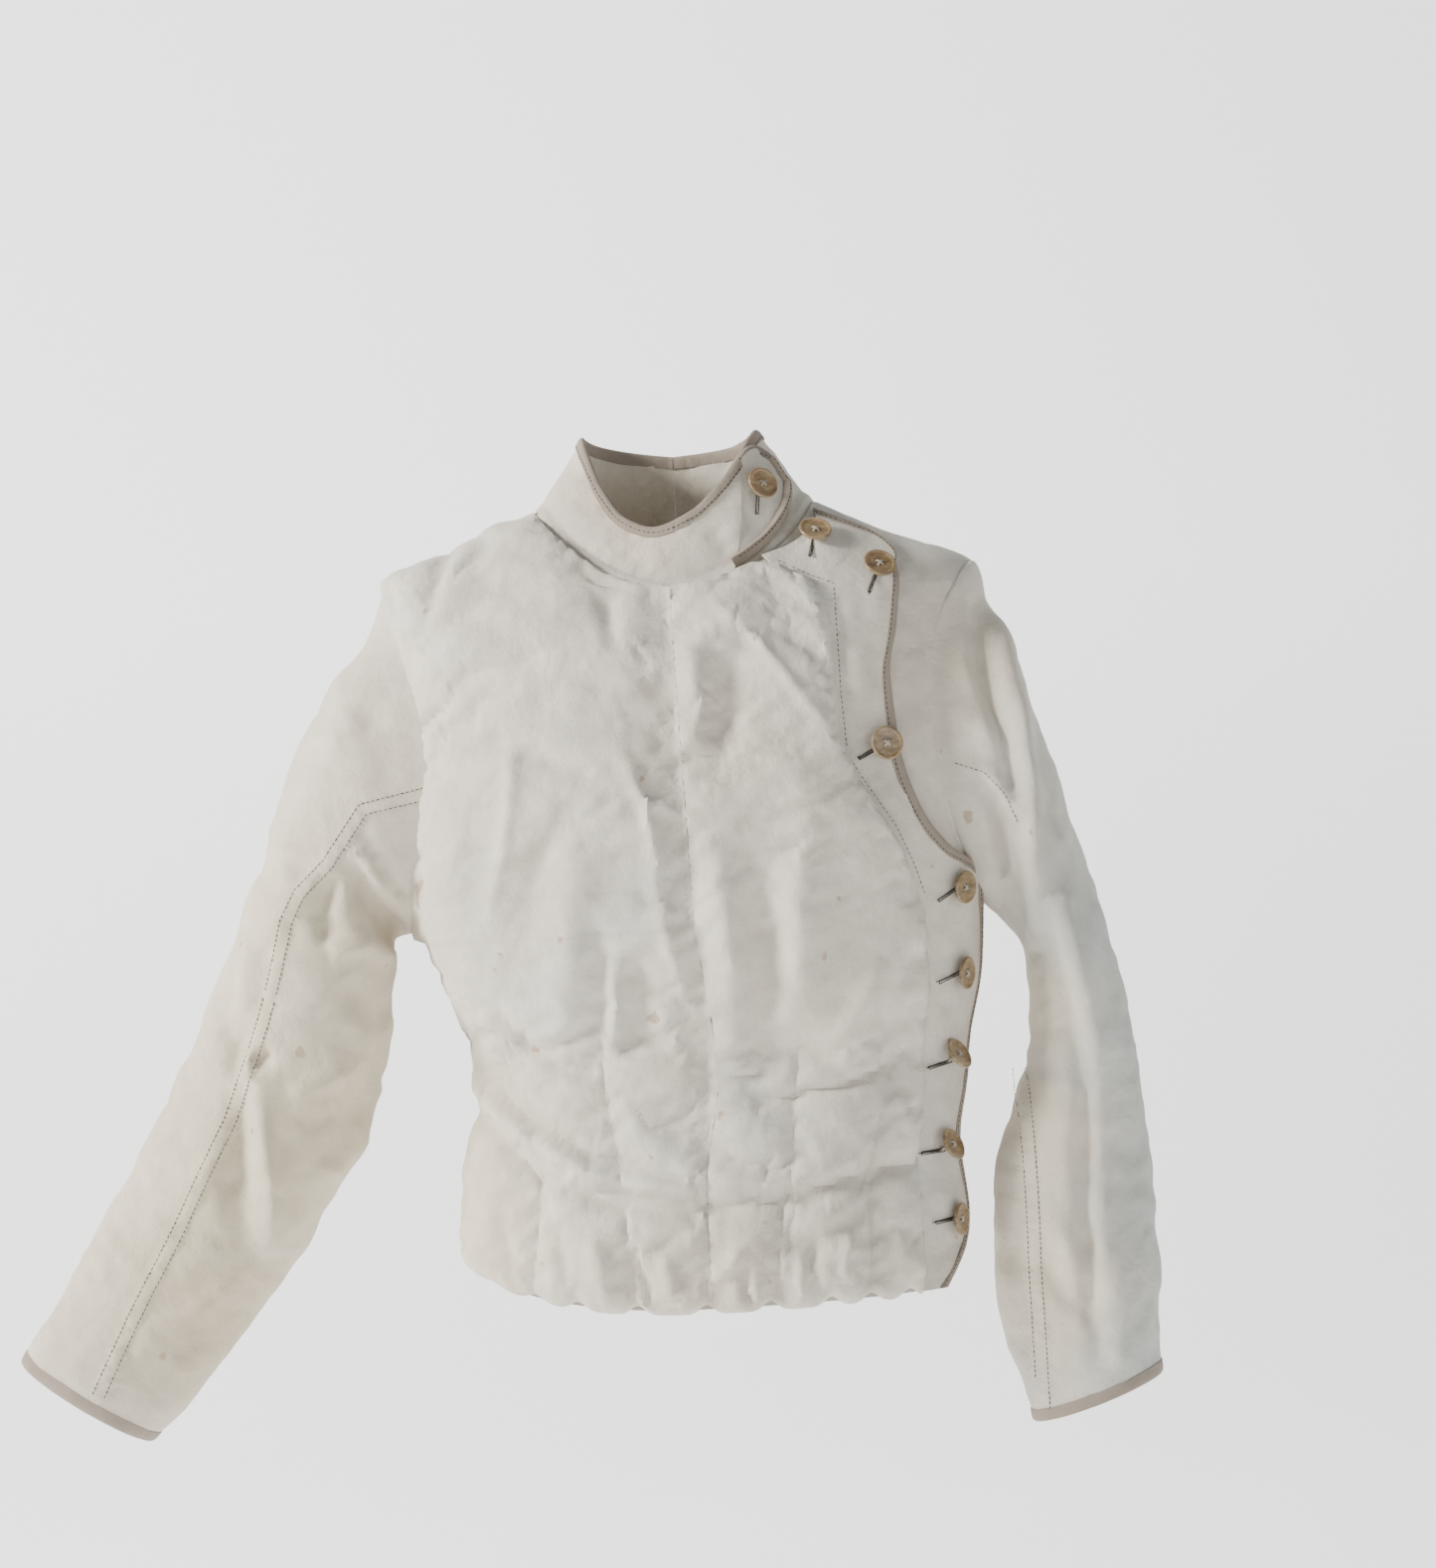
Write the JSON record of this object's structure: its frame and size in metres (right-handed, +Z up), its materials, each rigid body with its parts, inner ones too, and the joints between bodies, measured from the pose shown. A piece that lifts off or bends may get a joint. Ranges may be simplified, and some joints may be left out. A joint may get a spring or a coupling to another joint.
{
  "type": "beekeeping jacket",
  "caption": "Padded cotton work jacket with a stand collar and an overlap front that buttons down one side, worn as protective beekeeping clothing; bound edges, set-in sleeves.",
  "frame": {"origin": "the centre-back neck point, where the hanging loop is sewn in", "axes": "+X towards the wearer's left, -Y out of the front, +Z up as the jacket hangs"},
  "size_m": [0.7947, 0.1956, 0.705],
  "materials": {
    "drill": "off-white cotton drill, washed and creased",
    "lining": "plain cotton lining",
    "wadding": "cotton wadding",
    "tape": "taupe woven binding tape",
    "horn": "polished tan horn",
    "thread": "cotton thread"
  },
  "bodies": {
    "jacket_body": {"right_front_shell": "drill", "right_front_wadding": "wadding", "right_front_lining": "lining", "left_underfront_shell": "drill", "left_underfront_lining": "lining", "back_right": "drill", "back_left": "drill", "right_side": "drill", "left_side": "drill", "right_front_hem_binding": "tape", "back_hem_binding": "tape", "left_underfront_hem_binding": "tape", "collar_right": "drill", "collar_right_binding": "tape", "collar_underlap": "drill", "collar_underlap_binding": "tape", "hanging_loop": "tape"},
    "overlap_front": {"overlap_front_shell": "drill", "overlap_front_wadding": "wadding", "overlap_front_lining": "lining", "button_band": "drill", "closing_edge_binding": "tape", "overlap_hem_binding": "tape", "collar_front": "drill", "collar_front_binding": "tape"},
    "collar_tab": {"collar_tab": "drill", "collar_tab_binding": "tape"},
    "left_sleeve": {"left_top_sleeve": "drill", "left_under_sleeve": "drill", "left_gusset": "drill"},
    "left_forearm": {"left_top_forearm": "drill", "left_under_forearm": "drill", "left_cuff_binding": "tape"},
    "right_sleeve": {"right_top_sleeve": "drill", "right_under_sleeve": "drill", "right_gusset": "drill"},
    "right_forearm": {"right_top_forearm": "drill", "right_under_forearm": "drill", "right_cuff_binding": "tape"},
    "button_1": {"button_1": "horn", "button_1_thread": "thread"},
    "button_2": {"button_2": "horn", "button_2_thread": "thread"},
    "button_3": {"button_3": "horn", "button_3_thread": "thread"},
    "button_4": {"button_4": "horn", "button_4_thread": "thread"},
    "button_5": {"button_5": "horn", "button_5_thread": "thread"},
    "button_6": {"button_6": "horn", "button_6_thread": "thread"},
    "button_7": {"button_7": "horn", "button_7_thread": "thread"},
    "button_8": {"button_8": "horn", "button_8_thread": "thread"},
    "button_9": {"button_9": "horn", "button_9_thread": "thread"}
  },
  "joints": [
    {"name": "front_opening", "type": "hinge", "parent": "jacket_body", "child": "overlap_front", "pos_m": [-0.003, -0.1715, -0.25], "axis": [0, 0, -1], "range_deg": [0, 115]},
    {"name": "collar_tab_opening", "type": "hinge", "parent": "overlap_front", "child": "collar_tab", "pos_m": [0.04535, -0.11114, 0.02122], "axis": [-0.0822, -0.3117, -0.9466], "range_deg": [0, 110], "deforming": ["collar_tab"]},
    {"name": "left_sleeve_lift", "type": "hinge", "parent": "jacket_body", "child": "left_sleeve", "pos_m": [0.2055, -0.066, -0.015], "axis": [0, -1, 0], "range_deg": [0, 50]},
    {"name": "left_elbow_bend", "type": "hinge", "parent": "left_sleeve", "child": "left_forearm", "pos_m": [0.263, -0.129, -0.36], "axis": [-1, 0, 0], "range_deg": [0, 75]},
    {"name": "right_sleeve_lift", "type": "hinge", "parent": "jacket_body", "child": "right_sleeve", "pos_m": [-0.2055, -0.066, -0.015], "axis": [0, 1, 0], "range_deg": [0, 40]},
    {"name": "right_elbow_bend", "type": "hinge", "parent": "right_sleeve", "child": "right_forearm", "pos_m": [-0.296, -0.125, -0.352], "axis": [-0.8638, 0, 0.5039], "range_deg": [0, 75]},
    {"name": "button_1_rock", "type": "hinge", "parent": "jacket_body", "child": "button_1", "pos_m": [0.0581, -0.09668, 0.03978], "axis": [0.8389, 0.5442, 0], "range_deg": [-15, 15]},
    {"name": "button_2_rock", "type": "hinge", "parent": "jacket_body", "child": "button_2", "pos_m": [0.09528, -0.1049, 0.00271], "axis": [0.9784, 0.2069, 0], "range_deg": [-15, 15]},
    {"name": "button_3_rock", "type": "hinge", "parent": "jacket_body", "child": "button_3", "pos_m": [0.1368, -0.11716, -0.0231], "axis": [0.9489, 0.3156, 0], "range_deg": [-15, 15]},
    {"name": "button_4_rock", "type": "hinge", "parent": "jacket_body", "child": "button_4", "pos_m": [0.13285, -0.14361, -0.14345], "axis": [0.9462, 0.3237, 0], "range_deg": [-15, 15]},
    {"name": "button_5_rock", "type": "hinge", "parent": "jacket_body", "child": "button_5", "pos_m": [0.17917, -0.11552, -0.24404], "axis": [0.6384, 0.7697, 0], "range_deg": [-15, 15]},
    {"name": "button_6_rock", "type": "hinge", "parent": "jacket_body", "child": "button_6", "pos_m": [0.17669, -0.10848, -0.30335], "axis": [0.4717, 0.8818, 0], "range_deg": [-15, 15]},
    {"name": "button_7_rock", "type": "hinge", "parent": "jacket_body", "child": "button_7", "pos_m": [0.16648, -0.10269, -0.36492], "axis": [0.5411, 0.8409, 0], "range_deg": [0, 15]},
    {"name": "button_8_rock", "type": "hinge", "parent": "jacket_body", "child": "button_8", "pos_m": [0.15812, -0.10489, -0.42557], "axis": [0.5381, 0.8429, 0], "range_deg": [0, 15]},
    {"name": "button_9_rock", "type": "hinge", "parent": "jacket_body", "child": "button_9", "pos_m": [0.1633, -0.10264, -0.4736], "axis": [0.4186, 0.9082, 0], "range_deg": [-15, 15]}
  ]
}
